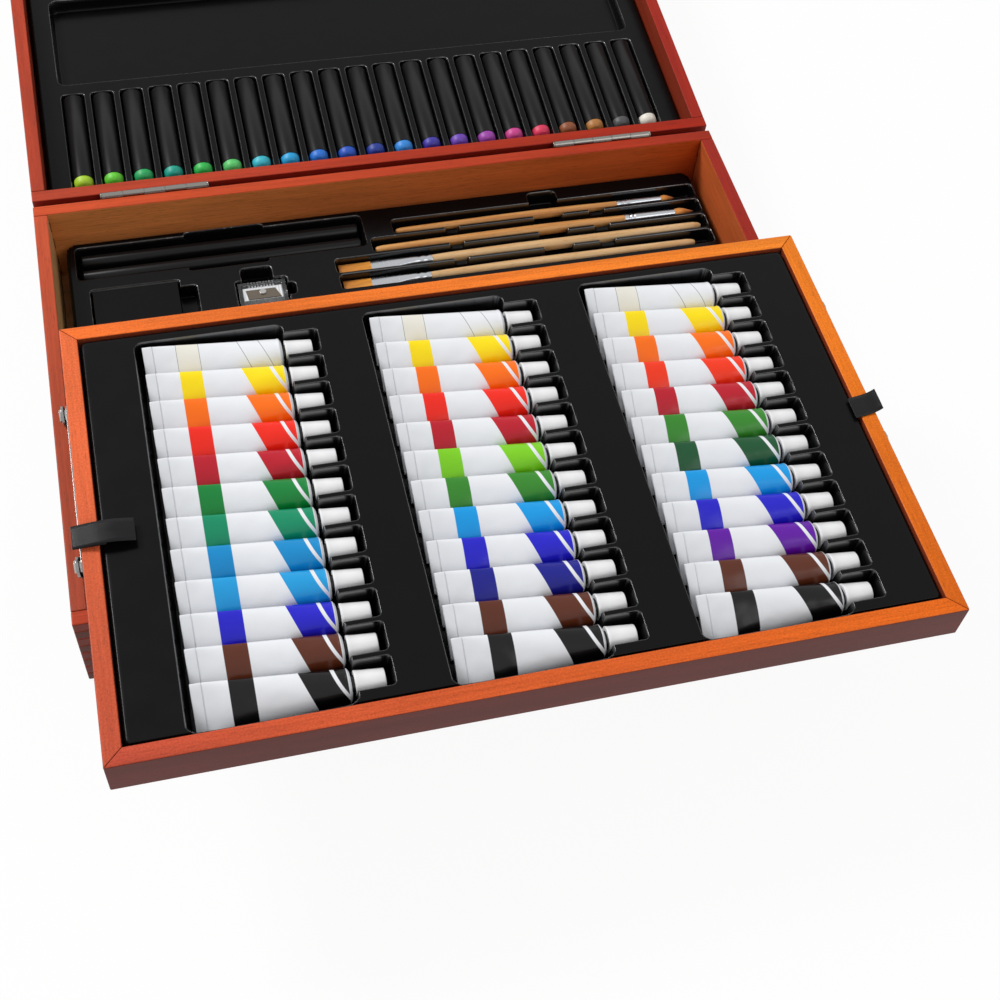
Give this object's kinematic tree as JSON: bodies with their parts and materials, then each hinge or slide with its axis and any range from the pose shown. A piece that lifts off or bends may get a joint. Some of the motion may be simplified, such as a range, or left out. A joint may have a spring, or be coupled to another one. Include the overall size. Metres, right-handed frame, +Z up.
{
  "type": "wooden art set box",
  "caption": "Stained wooden art set box with a hinged lid, a paint tube tray on swing arms, formed inserts, brushes and pastels.",
  "frame": {"origin": "centre of the base underside", "axes": "+Z up out of the open box, +Y from the front to the hinge side, +X to the right"},
  "size_m": [0.4, 0.662, 0.1128],
  "materials": {
    "stained_red_wood": "satin mahogany stain",
    "stained_orange_wood": "satin orange stain",
    "thin_plywood": "thin stained plywood",
    "black_formed_plastic": "vacuum formed sheet",
    "bright_steel": "nickel plated",
    "natural_beech": "clear lacquer",
    "brush_ferrule_metal": "polished",
    "golden_hair": "synthetic hair",
    "black_lacquer": "gloss",
    "white_rubber": "matte",
    "black_card": "printed card sleeve, plain",
    "clear_plastic": "clear",
    "oil_pastel": "waxy, one colour a stick",
    "black_paper": "paper sleeve",
    "enamelled_tube": "white enamel with colour bands",
    "white_cap_plastic": "white",
    "black_satin_ribbon": "satin"
  },
  "bodies": {
    "base": {"base_back_wall": "stained_red_wood", "base_front_wall": "stained_red_wood", "base_left_wall": "stained_red_wood", "base_right_wall": "stained_red_wood", "base_bottom_panel": "thin_plywood", "base_insert": "black_formed_plastic", "brush_handles": "natural_beech", "brush_ferrules": "brush_ferrule_metal", "brush_bristles": "golden_hair", "drawing_sticks": "black_lacquer", "eraser_block": "white_rubber", "eraser_sleeve": "black_card", "sharpener_housing": "clear_plastic", "sharpener_blade": "bright_steel", "sharpener_screw": "bright_steel", "hinge_leaves_base": "bright_steel", "hinge_pins": "bright_steel", "base_bracket_left": "bright_steel", "base_bracket_right": "bright_steel", "base_pivot_rivets": "bright_steel", "clasp_keepers": "bright_steel"},
    "lid": {"lid_back_wall": "stained_red_wood", "lid_front_wall": "stained_red_wood", "lid_left_wall": "stained_red_wood", "lid_right_wall": "stained_red_wood", "lid_top_panel": "thin_plywood", "lid_insert": "black_formed_plastic", "pastel_sticks": "oil_pastel", "pastel_sleeves": "black_paper", "hinge_leaves_lid": "bright_steel", "clasp_plates": "bright_steel", "clasp_pins": "bright_steel"},
    "rear_arms": {"rear_arm_left": "bright_steel", "rear_arm_right": "bright_steel"},
    "front_arms": {"front_arm_left": "bright_steel", "front_arm_right": "bright_steel"},
    "tray": {"tray_back_rail": "stained_orange_wood", "tray_front_rail": "stained_orange_wood", "tray_left_rail": "stained_orange_wood", "tray_right_rail": "stained_orange_wood", "tray_bottom_panel": "thin_plywood", "tray_insert": "black_formed_plastic", "paint_tubes_left": "enamelled_tube", "paint_tubes_middle": "enamelled_tube", "paint_tubes_right": "enamelled_tube", "tube_caps_left": "white_cap_plastic", "tube_caps_middle": "white_cap_plastic", "tube_caps_right": "white_cap_plastic", "ribbon_pull_left": "black_satin_ribbon", "ribbon_pull_right": "black_satin_ribbon", "tray_strip_left": "bright_steel", "tray_strip_right": "bright_steel", "tray_pivot_rivets": "bright_steel"},
    "clasp_tongue_left": {"clasp_tongue_left": "bright_steel"},
    "clasp_tongue_right": {"clasp_tongue_right": "bright_steel"}
  },
  "joints": [
    {"name": "lid_hinge", "type": "hinge", "parent": "base", "child": "lid", "pos_m": [0, 0.13945, 0.0522], "axis": [1, 0, 0], "range_deg": [0, 175]},
    {"name": "rear_arm_pivot", "type": "hinge", "parent": "base", "child": "rear_arms", "pos_m": [0, -0.01035, 0.028], "axis": [1, 0, 0], "range_deg": [-112.41, 0]},
    {"name": "front_arm_pivot", "type": "hinge", "parent": "base", "child": "front_arms", "pos_m": [0, -0.09535, 0.028], "axis": [1, 0, 0], "range_deg": [-112.41, 0]},
    {"name": "tray_pivot", "type": "hinge", "parent": "rear_arms", "child": "tray", "pos_m": [0, -0.0526, 0.099], "axis": [1, 0, 0], "range_deg": [0, 112.41]},
    {"name": "clasp_left_pivot", "type": "hinge", "parent": "lid", "child": "clasp_tongue_left", "pos_m": [-0.11, 0.41806, 0.07286], "axis": [1, 0, 0], "range_deg": [0, 180]},
    {"name": "clasp_right_pivot", "type": "hinge", "parent": "lid", "child": "clasp_tongue_right", "pos_m": [0.11, 0.41806, 0.07286], "axis": [1, 0, 0], "range_deg": [0, 180]}
  ],
  "couplings": [
    {"joint": "rear_arm_pivot", "follows": "lid_hinge", "ratio": -0.64232},
    {"joint": "front_arm_pivot", "follows": "lid_hinge", "ratio": -0.64232},
    {"joint": "tray_pivot", "follows": "lid_hinge", "ratio": 0.64232}
  ]
}
